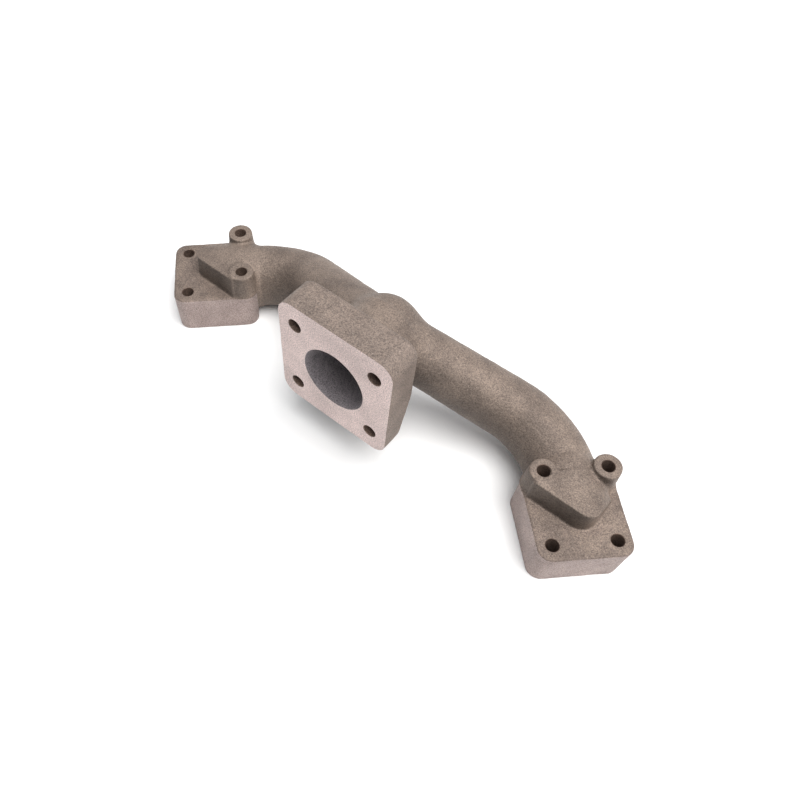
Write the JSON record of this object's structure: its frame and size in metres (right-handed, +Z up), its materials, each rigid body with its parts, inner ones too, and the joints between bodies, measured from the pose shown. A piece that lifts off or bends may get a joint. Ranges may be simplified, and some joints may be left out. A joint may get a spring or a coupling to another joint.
{
  "type": "exhaust manifold",
  "caption": "Cast-iron exhaust manifold: two angled port flanges with bolt bosses feed two sloping runners that meet behind one raised rectangular outlet flange.",
  "frame": {"origin": "middle of the footprint on the plane of the two port faces, which is the plane the part rests on", "axes": "+X from the left port to the right port as seen from the outlet, +Y away from the outlet face towards the backs of the runners, +Z up from the port faces through the bolt holes"},
  "size_m": [0.488, 0.1304, 0.147],
  "materials": {
    "cast_iron": "bare sand-cast skin, dull grey-brown with a fine grain",
    "port_flange_iron": "bare sand-cast sides and top over a machined port face",
    "outlet_flange_iron": "bare cast iron with a finely skimmed front face, lighter than the rest"
  },
  "bodies": {
    "root": {"collector": "cast_iron", "left_inner_bolt_boss": "cast_iron", "left_port_elbow": "cast_iron", "left_port_flange": "port_flange_iron", "left_rear_bolt_boss": "cast_iron", "left_runner": "cast_iron", "outlet_flange": "outlet_flange_iron", "outlet_neck": "cast_iron", "right_inner_bolt_boss": "cast_iron", "right_port_elbow": "cast_iron", "right_port_flange": "port_flange_iron", "right_rear_bolt_boss": "cast_iron", "right_runner": "cast_iron"}
  },
  "joints": []
}
